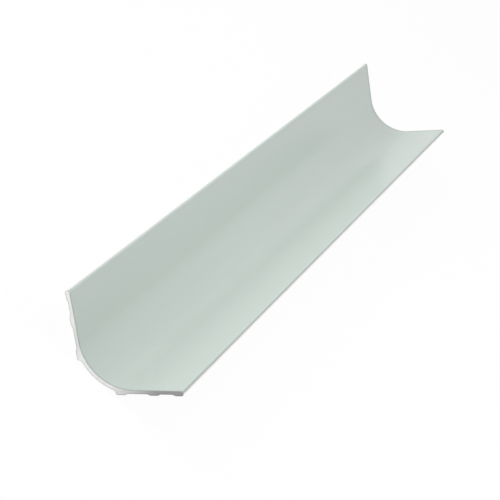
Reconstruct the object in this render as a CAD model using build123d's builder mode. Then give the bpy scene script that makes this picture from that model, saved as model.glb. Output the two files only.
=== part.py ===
"""Cove trim: one extruded plastic moulding that rounds off an inside corner.

The section is two equal legs at a right angle, joined by a concave cove. The backs of the legs
carry low ribs whose flat crests touch the wall and the floor, so that adhesive fills the gaps
between them. The section is drawn with u along one leg, v along the other, and 0, 0 where the
planes of the two sets of crests meet. The moulding lies on the back of its cove, open side up.
All sizes are in millimetres.
"""

import math
import os

from build123d import *

# Overall sizes
TRIM_LENGTH = 300.0
LEG_SIZE = 34.6  # from one plane of rib crests to the tip of the other leg
COVE_RADIUS = 15.9  # of the concave face

# Walls
LEG_WALL = 1.2
COVE_WALL = 1.4
RIB_HEIGHT = 0.45  # from the back of a leg to its rib crests

# Ribs, placed along a leg from the corner of the crest planes
HEEL_CREST_START = 11.65
HEEL_CREST_WIDTH = 2.9
MIDDLE_CREST_START = 23.3
MIDDLE_CREST_WIDTH = 2.5
TIP_CREST_WIDTH = 2.6  # this crest ends at the tip of the leg
RIB_FLANK = 1.1  # run of a sloped flank, from crest to back
HEEL_FLANK = 0.55  # lean of the heel rib's steep flank, where it meets the cove

# Rounded edges
CREST_ROUND = 0.25
ROOT_ROUND = 0.4
HEEL_ROUND = 0.3
FACE_TIP_ROUND = 0.75  # between the cove's face and the end of a leg
BACK_TIP_ROUND = 0.65  # between the end of a leg and its last crest

# Places worked out from the sizes above
LEG_BACK = RIB_HEIGHT
LEG_FACE = RIB_HEIGHT + LEG_WALL
COVE_CENTRE = LEG_FACE + COVE_RADIUS
BACK_RADIUS = COVE_RADIUS + COVE_WALL
HEEL_CREST_END = HEEL_CREST_START + HEEL_CREST_WIDTH
MIDDLE_CREST_END = MIDDLE_CREST_START + MIDDLE_CREST_WIDTH
TIP_CREST_START = LEG_SIZE - TIP_CREST_WIDTH
HEEL_TOP_U = HEEL_CREST_START - HEEL_FLANK
HEEL_TOP_V = COVE_CENTRE - math.sqrt(BACK_RADIUS**2 - (COVE_CENTRE - HEEL_TOP_U) ** 2)

DIAGONAL = math.sqrt(0.5)
COVE_MIDDLE = COVE_CENTRE - COVE_RADIUS * DIAGONAL
BACK_MIDDLE = COVE_CENTRE - BACK_RADIUS * DIAGONAL

# The section stands across the length, with the middle of the cove's back on the floor
CORNER_BELOW_FLOOR = BACK_MIDDLE / DIAGONAL
SECTION_PLANE = Plane(origin=(0, 0, -CORNER_BELOW_FLOOR), x_dir=(1, 0, 1), z_dir=(0, -1, 0))
MIRROR_PLANE = Plane(origin=(0, 0, 0), x_dir=(1, 1, 0), z_dir=(1, -1, 0))


def on_crest(vertex):
    """True for a corner of the half section that lies on the plane of the rib crests."""
    return abs(vertex.Y) < 1e-6


def on_back(vertex):
    """True for a corner of the half section where a rib's flank meets the back of the leg."""
    return abs(vertex.Y - LEG_BACK) < 1e-6


def at_tip(vertex):
    """True for a corner of the half section at the end of the leg."""
    return abs(vertex.X - LEG_SIZE) < 1e-6


with BuildPart() as cove_trim:
    with BuildSketch(SECTION_PLANE):
        with BuildLine():
            # Back of the half section, from the middle of the cove out to the tip of the leg
            RadiusArc((BACK_MIDDLE, BACK_MIDDLE), (HEEL_TOP_U, HEEL_TOP_V), -BACK_RADIUS)
            Polyline(
                (HEEL_TOP_U, HEEL_TOP_V),
                (HEEL_CREST_START, 0),
                (HEEL_CREST_END, 0),
                (HEEL_CREST_END + RIB_FLANK, LEG_BACK),
                (MIDDLE_CREST_START - RIB_FLANK, LEG_BACK),
                (MIDDLE_CREST_START, 0),
                (MIDDLE_CREST_END, 0),
                (MIDDLE_CREST_END + RIB_FLANK, LEG_BACK),
                (TIP_CREST_START - RIB_FLANK, LEG_BACK),
                (TIP_CREST_START, 0),
                (LEG_SIZE, 0),
                (LEG_SIZE, LEG_FACE),
                (COVE_CENTRE, LEG_FACE),
            )
            # Concave face, back to the middle of the cove
            RadiusArc((COVE_CENTRE, LEG_FACE), (COVE_MIDDLE, COVE_MIDDLE), COVE_RADIUS)
            Line((COVE_MIDDLE, COVE_MIDDLE), (BACK_MIDDLE, BACK_MIDDLE))
        make_face()
        fillet(vertices().filter_by(on_crest).sort_by(Axis.X)[:-1], CREST_ROUND)
        fillet(vertices().filter_by(on_back), ROOT_ROUND)
        fillet(vertices().sort_by_distance((HEEL_TOP_U, HEEL_TOP_V))[0], HEEL_ROUND)
        fillet(vertices().filter_by(at_tip).sort_by(Axis.Y)[-1], FACE_TIP_ROUND)
        fillet(vertices().filter_by(at_tip).sort_by(Axis.Y)[0], BACK_TIP_ROUND)
        # The other leg is the same half section across the diagonal
        mirror(about=MIRROR_PLANE)
    extrude(amount=TRIM_LENGTH / 2, both=True)

cove_trim.part.label = "cove_trim"

os.makedirs("parts", exist_ok=True)
export_step(cove_trim.part, "parts/cove_trim.step")
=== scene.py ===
"""Cove trim: the looks of an extruded plastic moulding, worked out around its CAD model.

The moulding is one piece: a white plastic section with a thin grey-green satin layer over its
concave face, sawn square at both ends. Its skin is a closed section carried along the length, and
each sawn end is a wall of columns from the back of the section to its face. The section is drawn
with u along one leg, v along the other, and 0, 0 where the planes of the two sets of rib crests
meet. Sizes are in metres, in the CAD model's own frame.
"""

import math
from typing import NamedTuple

import bpy
import numpy as np
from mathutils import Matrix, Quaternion, Vector


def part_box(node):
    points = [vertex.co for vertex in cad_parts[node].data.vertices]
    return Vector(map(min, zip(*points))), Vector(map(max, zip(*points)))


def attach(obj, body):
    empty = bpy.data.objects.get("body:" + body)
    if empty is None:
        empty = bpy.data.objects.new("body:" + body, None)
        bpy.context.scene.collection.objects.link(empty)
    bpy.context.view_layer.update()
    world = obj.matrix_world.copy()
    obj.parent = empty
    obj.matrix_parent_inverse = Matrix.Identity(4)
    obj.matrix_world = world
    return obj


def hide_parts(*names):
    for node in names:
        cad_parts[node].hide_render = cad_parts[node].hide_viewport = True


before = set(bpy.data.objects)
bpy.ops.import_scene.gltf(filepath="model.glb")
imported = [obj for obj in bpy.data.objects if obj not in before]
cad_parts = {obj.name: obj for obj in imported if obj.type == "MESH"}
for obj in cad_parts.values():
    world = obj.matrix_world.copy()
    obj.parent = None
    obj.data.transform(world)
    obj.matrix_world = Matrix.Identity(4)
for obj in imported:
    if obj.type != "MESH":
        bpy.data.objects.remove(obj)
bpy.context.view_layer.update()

bl_info = {
    "name": "Cove trim",
    "version": (1, 0, 0),
    "blender": (4, 5, 0),
    "location": "View3D > Sidebar > Cove trim",
    "description": "Builds an extruded cove trim and the plain studio that it is shown in",
    "category": "Add Mesh",
}

NODE = "cove_trim"
BODY = "root"

DIAGONAL = math.sqrt(0.5)
COVE_MIDDLE_ANGLE = 1.25 * math.pi  # of the cove's middle, seen from its centre in u, v
COVE_END_ANGLE = 1.5 * math.pi  # where the cove runs into the leg along u

# How finely the surface is divided
ARC_STEPS = 6
COVE_STEPS = 20
CUT_EDGE_STEPS = 4
COLUMN_STEP = 0.0005
SHORTEST_STEP = 0.02  # share of a column step, below which a point is left out
LENGTH_STATIONS = 90
CLOSE_SECTION = 3  # place of the section beside a sawn edge, in radii of that edge
WALL_ROWS = 4

# Heights on the end of a leg, from 0 at the back to 1 at the face, at which the satin layer and the
# painted shade along the tip start and are full, and how strong that shade is
LAYER_FADE = (0.42, 0.62)
TIP_SHADE_FADE = (0.94, 0.76)
TIP_SHADE_SHARE = 0.35

# How fine the patterns of the plastic are, per metre
DIE_LINES = 1400.0
SAW_LINES = 2200.0
LINE_CHANGES = 5.0  # of one line, along it
CLOUD_SCALE = 45.0
CLOUD_STRETCH = (1.0, 0.35, 1.0)
SPECK_SCALE = 85.0
SPECK_RADIUS = 0.04  # share of a cell
SPECK_SHARE = 0.12  # of the cells that hold a speck
GRAIN_SCALE = 2500.0

# How strong they are, as shares of the tone, the roughness and the relief
TONE_CHANGE = 0.015
SPECK_DEPTH = 0.12
CLOUD_ROUGHNESS = 0.02
LINE_ROUGHNESS = 0.015
GRAIN_SHARE = 0.5
LINE_BUMP = 0.25

# Height of the die's lines on the satin face and on the back
FACE_LINE_HEIGHT = 0.000004
BACK_LINE_HEIGHT = 0.00004
PLASTIC_IOR = 1.5

# What the saw leaves, a darker line along the back, and painted shade in a band along each sawn edge: how
# dark or strong each is, and where it starts and is full
NEAR_SHADE, NEAR_SHADE_START, NEAR_SHADE_FULL = 0.27, 0.0009, 0.0001
FAR_SHADE, FAR_SHADE_START, FAR_SHADE_FULL = 0.2, 0.0027, 0.0005
BACK_EDGE_DARK, BACK_EDGE_WIDTH = 0.38, 0.00035
MARK_TONE = (0.86, 1.16)
MARK_BUMP, MARK_HEIGHT = 0.4, 0.00004
LAYER_EDGE_TONE = 0.8
LAYER_BLUR = 0.2
# Painted shade across one leg of the near sawn end, deepening towards its tip
SHADE_SPAN = (0.0048, 0.0173)
# Painted shade round the heel of the other leg, on the near sawn end
HEEL_SHADE, HEEL_SHADE_X, HEEL_SHADE_SPAN = 0.11, -0.0122, (0.001, 0.005)

# The lights, and whether the satin mirrors them: those at the two ends would glare along the face
LIGHTS = {"front": False, "back": False, "left": True, "top": True, "right": True}

# Places of the three finishes in the piece's list of materials
SKIN, BACK, SAWN = 0, 1, 2

# Sockets of the Mix node when it mixes colours
MIX_FACTOR, MIX_A, MIX_B, MIX_COLOUR = 0, 6, 7, 2


def length(name, description, default):
    """A length in metres that a user may change."""
    return bpy.props.FloatProperty(
        name=name, description=description, default=default, min=0.0, precision=5, unit="LENGTH"
    )


def colour(name, description, default):
    """A linear colour that a user may change."""
    return bpy.props.FloatVectorProperty(
        name=name, description=description, default=default, min=0.0, max=1.0, size=3, subtype="COLOR"
    )


def share(name, description, default):
    """A number from 0 to 1 that a user may change."""
    return bpy.props.FloatProperty(
        name=name, description=description, default=default, min=0.0, max=1.0, subtype="FACTOR"
    )


def place(name, description, default):
    """A point in metres that a user may change."""
    return bpy.props.FloatVectorProperty(
        name=name, description=description, default=default, size=3, unit="LENGTH", subtype="XYZ"
    )


def power(name, description, default):
    """The power of a light, in watts, that a user may change."""
    return bpy.props.FloatProperty(
        name=name, description=description, default=default, min=0.0, unit="POWER"
    )


class CoveTrimSection(bpy.types.PropertyGroup):
    """Sizes of the section, the same as those of the CAD model."""

    leg_wall: length("Leg wall", "Wall of a leg between its ribs", 0.0012)
    cove_wall: length("Cove wall", "Wall of the cove", 0.0014)
    cove_radius: length("Cove radius", "Radius of the concave face", 0.0159)
    rib_height: length("Rib height", "From the back of a leg to its rib crests", 0.00045)
    heel_crest_start: length("Heel crest start", "From the corner along a leg", 0.01165)
    heel_crest_width: length("Heel crest width", "Flat crest of the rib at the cove", 0.0029)
    middle_crest_start: length("Middle crest start", "From the corner along a leg", 0.0233)
    middle_crest_width: length("Middle crest width", "Flat crest of the middle rib", 0.0025)
    tip_crest_width: length("Tip crest width", "Crest at the end of a leg", 0.0026)
    rib_flank: length("Rib flank", "Run of a sloped flank, from crest to back", 0.0011)
    heel_flank: length("Heel flank", "Lean of the heel's steep flank", 0.00055)
    crest_round: length("Crest rounding", "Radius along a rib crest", 0.00025)
    root_round: length("Root rounding", "Radius where a flank meets the back", 0.0004)
    heel_round: length("Heel rounding", "Radius where a heel meets the cove", 0.0003)
    face_tip_round: length("Face tip rounding", "Radius from the face to the end of a leg", 0.00075)
    back_tip_round: length("Back tip rounding", "Radius from the end of a leg to its crest", 0.00065)
    cut_edge_round: length("Cut edge rounding", "Radius left along a sawn edge", 0.00006)


class CoveTrimFinish(bpy.types.PropertyGroup):
    """Colours and finish of the plastic."""

    face_colour: colour("Face colour", "Satin layer on the concave face", (0.534, 0.6, 0.561))
    body_colour: colour("Body colour", "White plastic of the body", (0.80, 0.80, 0.79))
    # Painted shade: dark line along the rounded tip of one leg
    tip_shade_colour: colour("Tip shade colour", "Painted shade along a tip", (0.16, 0.18, 0.17))
    sawn_colour: colour("Sawn colour", "White plastic where it is sawn", (0.81, 0.81, 0.802))
    # Painted shade: grey on the near sawn end, deepening towards one leg's tip
    painted_shade_colour: colour("Painted shade colour", "Painted shade on the sawn end", (0.305, 0.3, 0.3))
    face_roughness: share("Face roughness", "Roughness of the satin layer", 0.31)
    body_roughness: share("Body roughness", "Roughness of the white plastic", 0.5)
    sawn_roughness: share("Sawn roughness", "Roughness of a sawn end", 0.72)
    layer_depth: length("Layer depth", "Thickness of the satin layer", 0.00006)


class CoveTrimStudio(bpy.types.PropertyGroup):
    """Floor, light and camera."""

    floor_size: length("Floor size", "Side of the square floor", 8.0)
    floor_colour: colour("Floor colour", "Pale floor", (0.93, 0.93, 0.93))
    shadow_share: share("Shadow share", "How much of the shadow shows on the white floor", 0.06)
    sky_strength: share("Sky strength", "Even light from all sides", 0.394)
    front_watts: power("Front light", "Soft light from the front", 6.95)
    front_place: place("Front place", "Middle of the front light", (-0.457, -1.201, 0.206))
    front_size: length("Front size", "Side of the front light", 1.0)
    back_watts: power("Back light", "Low light from behind, on the far end", 3.3)
    back_place: place("Back place", "Middle of the back light", (0.0, 1.3, 0.1))
    back_size: length("Back size", "Side of the back light", 0.2)
    left_watts: power("Left light", "Soft light from the left", 7.95)
    left_place: place("Left place", "Middle of the left light", (-1.163, 0.0, 0.591))
    left_size: length("Left size", "Side of the left light", 1.0)
    top_watts: power("Top light", "Soft light from above", 0.56)
    top_place: place("Top place", "Middle of the top light", (0.0, -0.109, 0.447))
    top_size: length("Top size", "Side of the top light", 0.3)
    right_watts: power("Right light", "Soft light from the right", 0.62)
    right_place: place("Right place", "Middle of the right light", (0.354, 0.0, 0.364))
    right_size: length("Right size", "Side of the right light", 0.3)
    camera_place: place("Camera place", "Where the camera stands", (0.04478, -0.57981, 0.31113))
    camera_aim: place("Camera aim", "Point in the middle of the picture", (0.00123, -0.00933, -0.00772))
    camera_roll: bpy.props.FloatProperty(
        name="Camera roll",
        description="Turn about the line of sight",
        default=math.radians(39.117),
        subtype="ANGLE",
        unit="ROTATION",
    )
    camera_lens: bpy.props.FloatProperty(
        name="Camera lens", description="Focal length", default=122.17, min=1.0, unit="CAMERA"
    )


def rounded_path(corners, radii):
    """A line through the corners with an arc in place of each inner one.

    An arc of radius r in a corner of half angle h touches the sides at r / tan(h) from the corner,
    and its centre is at r / sin(h) along the line that halves the corner. The directions from the
    centre swing evenly from one touching point to the other.
    """
    inner = corners[1:-1]
    back = corners[:-2] - inner
    onward = corners[2:] - inner
    back = back / np.linalg.norm(back, axis=1, keepdims=True)
    onward = onward / np.linalg.norm(onward, axis=1, keepdims=True)
    half = np.arccos(np.sum(back * onward, axis=1)) / 2
    bisector = (back + onward) / np.linalg.norm(back + onward, axis=1, keepdims=True)
    centre = inner + bisector * (radii / np.sin(half))[:, None]
    reach = (radii / np.tan(half))[:, None]
    first = (inner + back * reach - centre) / radii[:, None]
    last = (inner + onward * reach - centre) / radii[:, None]
    swing = (math.pi - 2 * half)[:, None]
    t = np.linspace(0, 1, ARC_STEPS)[None, :]
    weight_first = np.sin((1 - t) * swing) / np.sin(swing)
    weight_last = np.sin(t * swing) / np.sin(swing)
    direction = weight_first[..., None] * first[:, None] + weight_last[..., None] * last[:, None]
    arcs = centre[:, None] + radii[:, None, None] * direction
    return np.concatenate([corners[:1], arcs.reshape(-1, 2), corners[-1:]])


def distance_along(path):
    """Distance of each point of a path from its first point, along the path."""
    return np.concatenate([[0.0], np.cumsum(np.linalg.norm(np.diff(path, axis=0), axis=1))])


def divided(path, step):
    """The path with points added, so that no stretch of it is longer than step."""
    at = distance_along(path)
    stations = np.union1d(at, np.arange(0.0, at[-1], step))
    stations = stations[np.diff(stations, prepend=-1.0) > step * SHORTEST_STEP]
    stations[-1] = at[-1]
    points = np.stack([np.interp(stations, at, path[:, k]) for k in (0, 1)], axis=1)
    return stations, points


def half_section(size, leg_size):
    """Back and face of one leg, column by column from the middle of the cove to the leg's tip.

    The back is the cove's outer arc and then the ribs, as a line with rounded corners. The face is
    a sum of stretches, each clipped to its own length: the cove's arc, the straight leg, the arc at
    the tip and half of the leg's end. Columns pair points of the two that lie across the wall.
    """
    leg_back = size.rib_height
    leg_face = size.rib_height + size.leg_wall
    centre = leg_face + size.cove_radius
    back_radius = size.cove_radius + size.cove_wall
    heel_end = size.heel_crest_start + size.heel_crest_width
    middle_end = size.middle_crest_start + size.middle_crest_width
    tip_start = leg_size - size.tip_crest_width
    tip_middle = (size.back_tip_round + leg_face - size.face_tip_round) / 2
    heel_top_u = size.heel_crest_start - size.heel_flank
    heel_top_v = centre - math.sqrt(back_radius**2 - (centre - heel_top_u) ** 2)
    heel_angle = COVE_END_ANGLE - math.asin((centre - heel_top_u) / back_radius)

    angle = np.linspace(COVE_MIDDLE_ANGLE, heel_angle, COVE_STEPS)[:-1]
    cove_back = centre + back_radius * np.stack([np.cos(angle), np.sin(angle)], axis=1)
    corners = np.array(
        [
            cove_back[-1],
            (heel_top_u, heel_top_v),
            (size.heel_crest_start, 0.0),
            (heel_end, 0.0),
            (heel_end + size.rib_flank, leg_back),
            (size.middle_crest_start - size.rib_flank, leg_back),
            (size.middle_crest_start, 0.0),
            (middle_end, 0.0),
            (middle_end + size.rib_flank, leg_back),
            (tip_start - size.rib_flank, leg_back),
            (tip_start, 0.0),
            (leg_size, 0.0),
            (leg_size, tip_middle),
        ]
    )
    crest, root = size.crest_round, size.root_round
    radii = np.array(
        [size.heel_round, crest, crest, root, root, crest, crest, root, root, crest, size.back_tip_round]
    )
    outline = np.concatenate([cove_back[:-1], rounded_path(corners, radii)])
    stations, back = divided(outline, COLUMN_STEP)

    cove_run = size.cove_radius * (COVE_END_ANGLE - COVE_MIDDLE_ANGLE)
    leg_run = leg_size - size.face_tip_round - centre
    tip_run = size.face_tip_round * math.pi / 2
    end_run = leg_face - size.face_tip_round - tip_middle

    # Stations on the back and on the face that lie across the wall from each other
    across = np.array([corners[1], corners[3], corners[10], (leg_size - size.back_tip_round, 0.0)])
    nearest = np.argmin(np.linalg.norm(back[None] - across[:, None], axis=2), axis=1)
    heel_end_angle = COVE_END_ANGLE - math.asin((centre - heel_end) / size.cove_radius)
    on_back = np.concatenate([[0.0], stations[nearest], stations[-1:]])
    on_face = np.array(
        [
            0.0,
            size.cove_radius * (heel_angle - COVE_MIDDLE_ANGLE),
            size.cove_radius * (heel_end_angle - COVE_MIDDLE_ANGLE),
            cove_run + tip_start - centre,
            cove_run + leg_run,
            cove_run + leg_run + tip_run + end_run,
        ]
    )
    run = np.interp(stations, on_back, on_face)
    angle = COVE_MIDDLE_ANGLE + np.clip(run, 0, cove_run) / size.cove_radius
    along_leg = np.clip(run - cove_run, 0, leg_run)
    turn = np.clip(run - cove_run - leg_run, 0, tip_run) / size.face_tip_round
    down_end = np.clip(run - cove_run - leg_run - tip_run, 0, end_run)
    u = centre + size.cove_radius * np.cos(angle) + along_leg + size.face_tip_round * np.sin(turn)
    v = centre + size.cove_radius * np.sin(angle) - size.face_tip_round * (1 - np.cos(turn)) - down_end
    # Height on the end of a leg, from 0 at the back to 1 at the face and all over it
    face_height = np.clip(v / leg_face, 0, 1)
    round_tip = back[:, 0] > leg_size - size.back_tip_round
    back_height = np.where(round_tip, back[:, 1] / leg_face, 0.0)
    return back, np.stack([u, v], axis=1), back_height, face_height


class SectionRing:
    """The closed section: its points in X and Z, and which of them face each other across the wall.

    It runs from the middle of the cove's back along one leg to its tip, back along the whole face
    to the other tip, and along the other leg's back to the start. The second leg is the first with
    u and v exchanged. X is (u - v) and Z is (u + v), each times the sine of 45 degrees, with the
    middle of the cove's back at 0.
    """

    def __init__(self, size):
        low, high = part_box(NODE)
        # The box's side touches the rounding at the back of a leg's tip, at 45 degrees
        leg_size = (high.x - low.x) / 2 / DIAGONAL + size.back_tip_round * (2 - 1 / DIAGONAL)
        back, face, back_height, face_height = half_section(size, leg_size)
        n = len(back)
        ring = np.concatenate([back, face[-2::-1], face[1:, ::-1], back[-2:0:-1, ::-1]])
        below = back[0].sum() * DIAGONAL
        self.points = np.stack(
            [(ring[:, 0] - ring[:, 1]) * DIAGONAL, (ring[:, 0] + ring[:, 1]) * DIAGONAL - below], axis=1
        )
        self.count = len(ring)
        self.tip_height = np.concatenate(
            [back_height, face_height[-2::-1], face_height[1:], back_height[-2:0:-1]]
        )
        leg = np.arange(1, n)
        self.back_columns = np.concatenate([(4 * n - 4 - leg[::-1]), [0], leg])
        self.face_columns = np.concatenate([2 * n - 2 + leg[::-1], [2 * n - 2], 2 * n - 2 - leg])

    def inset(self, amount):
        """The section drawn in by each amount, along its inward normals."""
        ahead = np.roll(self.points, -1, axis=0) - np.roll(self.points, 1, axis=0)
        inward = np.stack([-ahead[:, 1], ahead[:, 0]], axis=1)
        inward /= np.linalg.norm(inward, axis=1, keepdims=True)
        return self.points[None] + np.asarray(amount)[:, None, None] * inward[None]


def length_stations(size):
    """Places along the length, and how far the section is drawn in there.

    At each end the sawn edge is a quarter circle of radius r: at an angle a it is drawn in by
    r (1 - cos a), at r (1 - sin a) from the end. A section close to it keeps the skin's shading even.
    """
    low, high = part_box(NODE)
    angle = np.linspace(math.pi / 2, 0, CUT_EDGE_STEPS + 1)
    rise = size.cut_edge_round * (1 - np.sin(angle))
    drawn_in = size.cut_edge_round * (1 - np.cos(angle))
    close = CLOSE_SECTION * size.cut_edge_round
    middle = np.linspace(low.y + close, high.y - close, LENGTH_STATIONS)
    y = np.concatenate([low.y + rise, middle, high.y - rise[::-1]])
    inset = np.concatenate([drawn_in, np.zeros(LENGTH_STATIONS), drawn_in[::-1]])
    return y, inset


def skin_surface(ring, y, inset):
    """Points and quads of the closed section carried along the length."""
    section = ring.inset(inset)
    points = np.empty((len(y), ring.count, 3))
    points[..., 0] = section[..., 0]
    points[..., 1] = y[:, None]
    points[..., 2] = section[..., 1]
    row = np.arange(len(y) - 1)[:, None] * ring.count
    column = np.arange(ring.count)[None, :]
    following = (column + 1) % ring.count
    quads = np.stack(
        [row + column, row + ring.count + column, row + ring.count + following, row + following], axis=-1
    )
    return points.reshape(-1, 3), quads.reshape(-1, 4)


class SawnEnd(NamedTuple):
    """One sawn end: its inner points, its faces, and its depth below the face and height above the back."""

    points: np.ndarray
    quads: np.ndarray
    triangles: np.ndarray
    depth: np.ndarray
    height: np.ndarray


def sawn_end(ring, points, first, ring_start, flip):
    """A wall of columns across the section, whose outer points are the skin's own.

    A column goes straight from the back to the face: at a share t of the wall its point is
    (1 - t) back + t face. The columns at the two tips are single points, closed with triangles.
    """
    back = ring_start + ring.back_columns
    face = ring_start + ring.face_columns
    t = np.linspace(0, 1, WALL_ROWS + 1)[1:-1]
    inner = (1 - t)[None, :, None] * points[back][1:-1, None] + t[None, :, None] * points[face][1:-1, None]
    numbers = first + np.arange(inner.shape[0] * inner.shape[1]).reshape(inner.shape[:2])
    grid = np.concatenate([back[1:-1, None], numbers, face[1:-1, None]], axis=1)
    quads = np.stack([grid[:-1, :-1], grid[1:, :-1], grid[1:, 1:], grid[:-1, 1:]], axis=-1).reshape(-1, 4)
    rows = np.arange(WALL_ROWS)
    left = np.stack([np.full(WALL_ROWS, back[0]), grid[0, rows], grid[0, rows + 1]], axis=-1)
    right = np.stack([np.full(WALL_ROWS, back[-1]), grid[-1, rows + 1], grid[-1, rows]], axis=-1)
    triangles = np.concatenate([left, right])
    if flip:
        quads = quads[:, ::-1]
        triangles = triangles[:, ::-1]
    wall = np.linalg.norm(points[back][1:-1] - points[face][1:-1], axis=1)[:, None]
    return SawnEnd(inner.reshape(-1, 3), quads, triangles, ((1 - t) * wall).ravel(), (t * wall).ravel())


def moulding_mesh(name, size):
    """The whole moulding as one closed mesh, with its finishes, attributes and section map."""
    ring = SectionRing(size)
    y, inset = length_stations(size)
    skin, skin_quads = skin_surface(ring, y, inset)
    last_ring = (len(y) - 1) * ring.count
    near = sawn_end(ring, skin, len(skin), 0, False)
    far = sawn_end(ring, skin, len(skin) + len(near.points), last_ring, True)

    points = np.concatenate([skin, near.points, far.points])
    quads = np.concatenate([skin_quads, near.quads, far.quads])
    triangles = np.concatenate([near.triangles, far.triangles])
    corners = np.concatenate([quads.ravel(), triangles.ravel()])
    starts = np.concatenate([4 * np.arange(len(quads)), quads.size + 3 * np.arange(len(triangles))])

    mesh = bpy.data.meshes.new(name)
    mesh.vertices.add(len(points))
    mesh.vertices.foreach_set("co", points.ravel())
    mesh.loops.add(len(corners))
    mesh.loops.foreach_set("vertex_index", corners.astype(np.int32))
    mesh.polygons.add(len(starts))
    mesh.polygons.foreach_set("loop_start", starts.astype(np.int32))
    mesh.update(calc_edges=True)

    # The skin is smooth, and the sawn ends are flat up to their broken edges
    covered = np.maximum(ring.tip_height, np.roll(ring.tip_height, -1)) > 0
    finish = np.full(len(starts), SAWN, dtype=np.int32)
    edge = CUT_EDGE_STEPS * ring.count
    finish[edge : len(skin_quads) - edge] = np.tile(
        np.where(covered, SKIN, BACK), len(y) - 1 - 2 * CUT_EDGE_STEPS
    )
    mesh.polygons.foreach_set("material_index", finish)
    mesh.polygons.foreach_set("use_smooth", finish != SAWN)

    # Height on the end of a leg, depth below the face and height above the back
    inner_count = len(near.points) + len(far.points)
    tip_height = np.concatenate([np.tile(ring.tip_height, len(y)), np.zeros(inner_count)])
    wall = np.linalg.norm(ring.points[ring.back_columns] - ring.points[ring.face_columns], axis=1)
    ring_depth = np.zeros(ring.count)
    ring_depth[ring.back_columns] = wall
    ring_height = np.zeros(ring.count)
    ring_height[ring.face_columns] = wall
    depth = np.concatenate([np.tile(ring_depth, len(y)), near.depth, far.depth])
    height = np.concatenate([np.tile(ring_height, len(y)), near.height, far.height])
    for attribute, values in (("tip_height", tip_height), ("depth", depth), ("height", height)):
        layer = mesh.attributes.new(attribute, "FLOAT", "POINT")
        layer.data.foreach_set("value", values.astype(np.float32))

    # Section map: distance round the section, and distance along the length
    around = distance_along(np.concatenate([ring.points, ring.points[:1]]))
    low, high = around[:-1], around[1:]
    first = np.stack([low, low, high, high], axis=-1)
    second = np.stack([y[:-1], y[1:], y[1:], y[:-1]], axis=-1)
    on_skin = np.empty((len(y) - 1, ring.count, 4, 2))
    on_skin[..., 0] = first[None]
    on_skin[..., 1] = second[:, None]
    on_ends = points[corners[skin_quads.size :]][:, [0, 2]]
    section_map = np.concatenate([on_skin.reshape(-1, 2), on_ends])
    mesh.uv_layers.new(name="section").data.foreach_set("uv", section_map.astype(np.float32).ravel())

    if mesh.validate():
        raise RuntimeError("the moulding's mesh has faulty faces")
    return mesh


def add_node(tree, kind, inputs=None, **settings):
    """A node with its settings, and each input given a value or linked to a socket."""
    node = tree.nodes.new(kind)
    for name, value in settings.items():
        setattr(node, name, value)
    for key, value in (inputs or {}).items():
        if isinstance(value, bpy.types.NodeSocket):
            tree.links.new(value, node.inputs[key])
        else:
            node.inputs[key].default_value = value
    return node


def math_node(tree, operation, first, second=0.0):
    """Output of a Math node."""
    return add_node(tree, "ShaderNodeMath", {0: first, 1: second}, operation=operation).outputs[0]


def spread(tree, value, low, high, start=0.0, end=1.0, shape="LINEAR"):
    """A value from start to end, stretched from low to high."""
    inputs = {"Value": value, "From Min": start, "From Max": end, "To Min": low, "To Max": high}
    return add_node(tree, "ShaderNodeMapRange", inputs, interpolation_type=shape).outputs[0]


def stretch(tree, vector, scale):
    """A vector with each part multiplied by that of a scale."""
    return add_node(tree, "ShaderNodeVectorMath", {0: vector, 1: scale}, operation="MULTIPLY").outputs[0]


def mix_colours(tree, factor, first, second, blend="MIX"):
    """Output of a Mix node for colours."""
    inputs = {MIX_FACTOR: factor, MIX_A: first, MIX_B: second}
    node = add_node(tree, "ShaderNodeMix", inputs, data_type="RGBA", blend_type=blend)
    return node.outputs[MIX_COLOUR]


def new_group(name, inputs, outputs):
    """An empty shader node group with its sockets, and its input and output nodes."""
    tree = bpy.data.node_groups.new(name, "ShaderNodeTree")
    for socket, kind, default in inputs:
        made = tree.interface.new_socket(socket, in_out="INPUT", socket_type=kind)
        if default is not None:
            made.default_value = default
    for socket, kind in outputs:
        tree.interface.new_socket(socket, in_out="OUTPUT", socket_type=kind)
    return tree, tree.nodes.new("NodeGroupInput"), tree.nodes.new("NodeGroupOutput")


def die_lines_group():
    """Lines that the die leaves along an extrusion, or a saw across it: noise stretched one way.

    The vector is the section map. Its first coordinate, which the lines stand across, goes round the
    section on the skin, and is X on a sawn end.
    """
    tree, given, result = new_group(
        "Die lines",
        [("Vector", "NodeSocketVector", None), ("Lines", "NodeSocketFloat", DIE_LINES)],
        [("Line", "NodeSocketFloat")],
    )
    inputs = {"X": given.outputs["Lines"], "Y": LINE_CHANGES, "Z": 0.0}
    scale = add_node(tree, "ShaderNodeCombineXYZ", inputs)
    stretched = stretch(tree, given.outputs["Vector"], scale.outputs[0])
    inputs = {"Vector": stretched, "Scale": 1.0, "Detail": 3.0, "Roughness": 0.6}
    noise = add_node(tree, "ShaderNodeTexNoise", inputs)
    tree.links.new(noise.outputs["Fac"], result.inputs["Line"])
    return tree


def clouds_group():
    """Soft uneven tone of a cooled extrusion: large smooth noise, longer along the length."""
    tree, given, result = new_group(
        "Soft clouds",
        [("Vector", "NodeSocketVector", None), ("Scale", "NodeSocketFloat", CLOUD_SCALE)],
        [("Tone", "NodeSocketFloat")],
    )
    stretched = stretch(tree, given.outputs["Vector"], CLOUD_STRETCH)
    inputs = {"Vector": stretched, "Scale": given.outputs["Scale"], "Detail": 2.0}
    noise = add_node(tree, "ShaderNodeTexNoise", inputs)
    tree.links.new(noise.outputs["Fac"], result.inputs["Tone"])
    return tree


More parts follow.
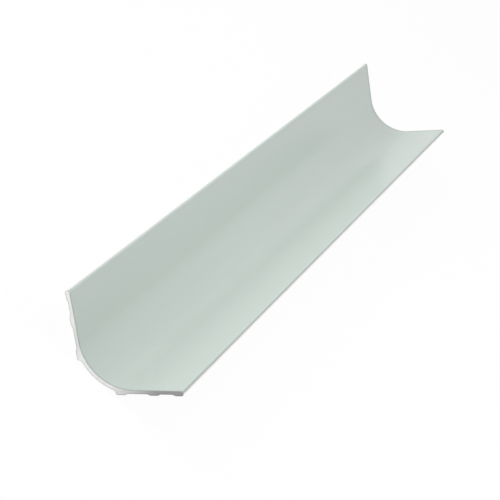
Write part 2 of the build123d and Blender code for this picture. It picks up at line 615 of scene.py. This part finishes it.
def specks_group():
    """Sparse specks: the middle of some cells of a Voronoi pattern, each within the radius."""
    tree, given, result = new_group(
        "Specks",
        [
            ("Vector", "NodeSocketVector", None),
            ("Scale", "NodeSocketFloat", SPECK_SCALE),
            ("Radius", "NodeSocketFloat", SPECK_RADIUS),
            ("Share", "NodeSocketFloat", SPECK_SHARE),
        ],
        [("Mask", "NodeSocketFloat")],
    )
    inputs = {"Vector": given.outputs["Vector"], "Scale": given.outputs["Scale"]}
    cells = add_node(tree, "ShaderNodeTexVoronoi", inputs, voronoi_dimensions="2D")
    near = spread(tree, cells.outputs["Distance"], 0.0, 1.0, given.outputs["Radius"], 0.0)
    parts = add_node(tree, "ShaderNodeSeparateColor", {0: cells.outputs["Color"]})
    chosen = math_node(tree, "LESS_THAN", parts.outputs[0], given.outputs["Share"])
    tree.links.new(math_node(tree, "MULTIPLY", near, chosen), result.inputs["Mask"])
    return tree


def use_group(tree, build, name, inputs):
    """A shared group placed in a material, and built the first time that it is asked for."""
    group = bpy.data.node_groups.get(name) or build()
    return add_node(tree, "ShaderNodeGroup", inputs, node_tree=group).outputs[0]


def new_material(name):
    """A material with its Principled BSDF joined to the output."""
    material = bpy.data.materials.new(name)
    material.use_nodes = True
    tree = material.node_tree
    tree.nodes.clear()
    shader = tree.nodes.new("ShaderNodeBsdfPrincipled")
    output = tree.nodes.new("ShaderNodeOutputMaterial")
    tree.links.new(shader.outputs[0], output.inputs["Surface"])
    return material, tree, shader


def opaque(rgb):
    """A colour with full alpha, as a colour socket takes it."""
    return (*rgb, 1.0)


def shade_base(tree, shader, base, tone):
    """The base colour times a tone, on the shader."""
    grey = add_node(tree, "ShaderNodeCombineColor", {0: tone, 1: tone, 2: tone}).outputs[0]
    tree.links.new(mix_colours(tree, 1.0, base, grey, "MULTIPLY"), shader.inputs["Base Color"])


def painted_edge_shade(tree, object_place):
    """Painted shade on the skin, in a band of 1 to 3 millimetres along each sawn edge."""
    low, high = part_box(NODE)
    along = add_node(tree, "ShaderNodeSeparateXYZ", {0: object_place}).outputs["Y"]
    start, full = NEAR_SHADE_START + low.y, NEAR_SHADE_FULL + low.y
    near = spread(tree, along, 0.0, NEAR_SHADE, start, full, "SMOOTHSTEP")
    start, full = high.y - FAR_SHADE_START, high.y - FAR_SHADE_FULL
    far = spread(tree, along, 0.0, FAR_SHADE, start, full, "SMOOTHSTEP")
    return math_node(tree, "ADD", near, far)


def add_bump(tree, shader, height, strength, distance):
    """Fine relief on the shader, from a height between 0 and 1 and the distance that 1 stands for."""
    inputs = {"Strength": strength, "Distance": distance, "Height": height}
    tree.links.new(add_node(tree, "ShaderNodeBump", inputs).outputs[0], shader.inputs["Normal"])


def plastic_surface(tree, shader, base, roughness, line_height):
    """Finish shared by the face and the back: die lines, soft clouds and specks over a base colour, with
    painted shade along the sawn edges.
    """
    section = add_node(tree, "ShaderNodeUVMap", uv_map="section").outputs[0]
    object_place = add_node(tree, "ShaderNodeTexCoord").outputs["Object"]
    lines = use_group(tree, die_lines_group, "Die lines", {"Vector": section, "Lines": DIE_LINES})
    clouds = use_group(tree, clouds_group, "Soft clouds", {"Vector": object_place, "Scale": CLOUD_SCALE})
    inputs = {"Vector": section, "Scale": SPECK_SCALE, "Radius": SPECK_RADIUS, "Share": SPECK_SHARE}
    specks = use_group(tree, specks_group, "Specks", inputs)

    line_tone = spread(tree, lines, 1 - TONE_CHANGE, 1 + TONE_CHANGE)
    tone = math_node(tree, "ADD", line_tone, spread(tree, clouds, -TONE_CHANGE, TONE_CHANGE))
    tone = math_node(tree, "SUBTRACT", tone, math_node(tree, "MULTIPLY", specks, SPECK_DEPTH))
    # Painted shade: the skin darkens in a band along each sawn edge
    tone = math_node(tree, "SUBTRACT", tone, painted_edge_shade(tree, object_place))
    shade_base(tree, shader, base, tone)

    cloud_rough = spread(tree, clouds, -CLOUD_ROUGHNESS, CLOUD_ROUGHNESS)
    rough = math_node(tree, "ADD", cloud_rough, spread(tree, lines, -LINE_ROUGHNESS, LINE_ROUGHNESS))
    tree.links.new(math_node(tree, "ADD", rough, roughness), shader.inputs["Roughness"])

    inputs = {"Vector": object_place, "Scale": GRAIN_SCALE, "Detail": 2.0}
    grain = add_node(tree, "ShaderNodeTexNoise", inputs).outputs["Fac"]
    height = math_node(tree, "ADD", lines, math_node(tree, "MULTIPLY", grain, GRAIN_SHARE))
    add_bump(tree, shader, height, LINE_BUMP, line_height)
    shader.inputs["IOR"].default_value = PLASTIC_IOR


def face_material(finish):
    """Satin grey-green layer of the concave face, thinning to the white body round the tips, with painted
    shade along one tip.
    """
    material, tree, shader = new_material("satin_face")
    tip_height = add_node(tree, "ShaderNodeAttribute", attribute_name="tip_height").outputs["Fac"]
    cover = spread(tree, tip_height, 0.0, 1.0, *LAYER_FADE)
    base = mix_colours(tree, cover, opaque(finish.body_colour), opaque(finish.face_colour))
    # Painted shade: a dark line along the rounded tip of the leg at +X
    object_place = add_node(tree, "ShaderNodeTexCoord").outputs["Object"]
    side = add_node(tree, "ShaderNodeSeparateXYZ", {0: object_place}).outputs["X"]
    line = math_node(tree, "MULTIPLY", cover, spread(tree, tip_height, 0.0, TIP_SHADE_SHARE, *TIP_SHADE_FADE))
    line = math_node(tree, "MULTIPLY", line, math_node(tree, "GREATER_THAN", side, 0.0))
    base = mix_colours(tree, line, base, opaque(finish.tip_shade_colour))
    plastic_surface(tree, shader, base, finish.face_roughness, FACE_LINE_HEIGHT)
    return material


def back_material(finish):
    """White plastic of the back, with the lines of the die."""
    material, tree, shader = new_material("white_back")
    plastic_surface(tree, shader, opaque(finish.body_colour), finish.body_roughness, BACK_LINE_HEIGHT)
    return material


def sawn_material(finish):
    """Sawn end: white body with the edge of the satin layer, fine saw marks, a darker line along the back,
    and grey painted shade on the near end.
    """
    material, tree, shader = new_material("sawn_end")
    object_place = add_node(tree, "ShaderNodeTexCoord").outputs["Object"]
    depth = add_node(tree, "ShaderNodeAttribute", attribute_name="depth").outputs["Fac"]
    layer_start, layer_end = (1 - LAYER_BLUR) * finish.layer_depth, (1 + LAYER_BLUR) * finish.layer_depth
    layer = spread(tree, depth, 1.0, 0.0, layer_start, layer_end)
    section = add_node(tree, "ShaderNodeUVMap", uv_map="section").outputs[0]
    marks = use_group(tree, die_lines_group, "Die lines", {"Vector": section, "Lines": SAW_LINES})

    # Painted shade deepens towards the tip of one leg, on the near end only
    parts = add_node(tree, "ShaderNodeSeparateXYZ", {0: object_place})
    near_end = math_node(tree, "LESS_THAN", parts.outputs["Y"], 0.0)
    painted_shade = spread(tree, parts.outputs["X"], 0.0, 1.0, *SHADE_SPAN)
    painted_shade = math_node(tree, "MULTIPLY", painted_shade, near_end)
    body = mix_colours(tree, painted_shade, opaque(finish.sawn_colour), opaque(finish.painted_shade_colour))
    layer_edge = [LAYER_EDGE_TONE * part for part in finish.face_colour]
    edge = mix_colours(tree, painted_shade, opaque(layer_edge), opaque(finish.painted_shade_colour))
    base = mix_colours(tree, layer, body, edge)

    # The sawn end is darker in a thin line along the edge at the back
    above_back = add_node(tree, "ShaderNodeAttribute", attribute_name="height").outputs["Fac"]
    back_darkening = spread(tree, above_back, BACK_EDGE_DARK, 0.0, 0.0, BACK_EDGE_WIDTH)
    tone = math_node(tree, "SUBTRACT", spread(tree, marks, *MARK_TONE), back_darkening)

    # Fainter painted shade lies round the heel of the other leg, on the near end
    from_heel = math_node(tree, "SUBTRACT", parts.outputs["X"], HEEL_SHADE_X)
    from_heel = math_node(tree, "ABSOLUTE", from_heel)
    heel_shade = spread(tree, from_heel, HEEL_SHADE, 0.0, *HEEL_SHADE_SPAN, "SMOOTHSTEP")
    tone = math_node(tree, "SUBTRACT", tone, math_node(tree, "MULTIPLY", heel_shade, near_end))
    shade_base(tree, shader, base, tone)
    shader.inputs["Roughness"].default_value = finish.sawn_roughness
    add_bump(tree, shader, marks, MARK_BUMP, MARK_HEIGHT)
    return material


class COVETRIM_OT_moulding(bpy.types.Operator):
    """Build the moulding with its finishes, in place of the CAD solid"""

    bl_idname = "cove_trim.moulding"
    bl_label = "Moulding"

    def execute(self, context):
        mesh = moulding_mesh("cove_trim_moulding", context.scene.cove_trim_section)
        finish = context.scene.cove_trim_finish
        for build in (face_material, back_material, sawn_material):
            mesh.materials.append(build(finish))
        piece = bpy.data.objects.new("cove_trim_moulding", mesh)
        context.scene.collection.objects.link(piece)
        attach(piece, BODY)
        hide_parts(NODE)
        return {"FINISHED"}


def seen_directly(tree):
    """1 for what the camera sees, also by reflection or through glass, and 0 for other light."""
    path = tree.nodes.new("ShaderNodeLightPath")
    camera, glossy, through = (
        path.outputs[f"Is {kind} Ray"] for kind in ("Camera", "Glossy", "Transmission")
    )
    return math_node(tree, "MAXIMUM", camera, math_node(tree, "MAXIMUM", glossy, through))


def floor_material(studio):
    """Pale floor that shows white where no shadow falls on it, and is clear from below."""
    material = bpy.data.materials.new("white_floor")
    material.use_nodes = True
    tree = material.node_tree
    tree.nodes.clear()
    matte = add_node(tree, "ShaderNodeBsdfDiffuse", {"Color": opaque(studio.floor_colour)})
    white = add_node(tree, "ShaderNodeEmission", {"Strength": 1.0})
    shaded = add_node(
        tree, "ShaderNodeMixShader", {0: studio.shadow_share, 1: white.outputs[0], 2: matte.outputs[0]}
    )
    floor = add_node(
        tree, "ShaderNodeMixShader", {0: seen_directly(tree), 1: matte.outputs[0], 2: shaded.outputs[0]}
    )
    clear = tree.nodes.new("ShaderNodeBsdfTransparent")
    below = tree.nodes.new("ShaderNodeNewGeometry").outputs["Backfacing"]
    floor = add_node(tree, "ShaderNodeMixShader", {0: below, 1: floor.outputs[0], 2: clear.outputs[0]})
    add_node(tree, "ShaderNodeOutputMaterial", {"Surface": floor.outputs[0]})
    return material


def white_world(scene, studio):
    """An even white surround that lights the object softly."""
    world = bpy.data.worlds.new("white_surround")
    world.use_nodes = True
    tree = world.node_tree
    tree.nodes.clear()
    light = add_node(tree, "ShaderNodeBackground", {"Color": (1, 1, 1, 1), "Strength": studio.sky_strength})
    white = add_node(tree, "ShaderNodeBackground", {"Color": (1, 1, 1, 1), "Strength": 1.0})
    surround = add_node(
        tree, "ShaderNodeMixShader", {0: seen_directly(tree), 1: light.outputs[0], 2: white.outputs[0]}
    )
    add_node(tree, "ShaderNodeOutputWorld", {"Surface": surround.outputs[0]})
    scene.world = world


def add_softbox(scene, studio, name, aim, mirrored):
    """A square area light that faces the aim, and may be left out of what the satin mirrors."""
    at = Vector(getattr(studio, f"{name}_place"))
    light = bpy.data.lights.new(f"{name}_light", "AREA")
    light.shape = "SQUARE"
    light.size = getattr(studio, f"{name}_size")
    light.energy = getattr(studio, f"{name}_watts")
    lamp = bpy.data.objects.new(f"{name}_light", light)
    lamp.location = at
    lamp.rotation_mode = "QUATERNION"
    lamp.rotation_quaternion = (aim - at).to_track_quat("-Z", "Y")
    lamp.visible_camera = False
    lamp.visible_glossy = mirrored
    scene.collection.objects.link(lamp)


class COVETRIM_OT_stage(bpy.types.Operator):
    """Build the pale floor, the soft light and the camera"""

    bl_idname = "cove_trim.stage"
    bl_label = "Studio"

    def execute(self, context):
        scene = context.scene
        studio = scene.cove_trim_studio
        half = studio.floor_size / 2
        corners = [(-half, -half, 0.0), (half, -half, 0.0), (half, half, 0.0), (-half, half, 0.0)]
        mesh = bpy.data.meshes.new("floor")
        mesh.from_pydata(corners, [], [(0, 1, 2, 3)])
        mesh.materials.append(floor_material(studio))
        floor = bpy.data.objects.new("floor", mesh)
        scene.collection.objects.link(floor)

        white_world(scene, studio)
        low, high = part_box(NODE)
        middle = (low + high) / 2
        for name, mirrored in LIGHTS.items():
            add_softbox(scene, studio, name, middle, mirrored)

        camera = bpy.data.objects.new("camera", bpy.data.cameras.new("camera"))
        camera.data.lens = studio.camera_lens
        camera.location = studio.camera_place
        sight = Vector(studio.camera_aim) - Vector(studio.camera_place)
        camera.rotation_mode = "QUATERNION"
        roll = Quaternion((0, 0, 1), studio.camera_roll)
        camera.rotation_quaternion = sight.to_track_quat("-Z", "Y") @ roll
        scene.collection.objects.link(camera)
        scene.camera = camera
        scene.view_settings.view_transform = "Standard"
        return {"FINISHED"}


class COVETRIM_PT_panel(bpy.types.Panel):
    """Lists the moulding and its studio in the sidebar"""

    bl_idname = "COVETRIM_PT_panel"
    bl_label = "Cove trim"
    bl_space_type = "VIEW_3D"
    bl_region_type = "UI"
    bl_category = "Cove trim"

    def draw(self, context):
        for operator in (COVETRIM_OT_moulding, COVETRIM_OT_stage):
            self.layout.operator(operator.bl_idname)
        for group in (
            context.scene.cove_trim_section,
            context.scene.cove_trim_finish,
            context.scene.cove_trim_studio,
        ):
            column = self.layout.column()
            for name in group.bl_rna.properties.keys():
                if name not in {"rna_type", "name"}:
                    column.prop(group, name)


CLASSES = (
    CoveTrimSection,
    CoveTrimFinish,
    CoveTrimStudio,
    COVETRIM_OT_moulding,
    COVETRIM_OT_stage,
    COVETRIM_PT_panel,
)


def register():
    for each in CLASSES:
        bpy.utils.register_class(each)
    bpy.types.Scene.cove_trim_section = bpy.props.PointerProperty(type=CoveTrimSection)
    bpy.types.Scene.cove_trim_finish = bpy.props.PointerProperty(type=CoveTrimFinish)
    bpy.types.Scene.cove_trim_studio = bpy.props.PointerProperty(type=CoveTrimStudio)


def unregister():
    del bpy.types.Scene.cove_trim_section
    del bpy.types.Scene.cove_trim_finish
    del bpy.types.Scene.cove_trim_studio
    for each in reversed(CLASSES):
        bpy.utils.unregister_class(each)


def main():
    """Builds the moulding and its studio."""
    register()
    bpy.ops.cove_trim.moulding()
    bpy.ops.cove_trim.stage()


if __name__ == "__main__":
    main()
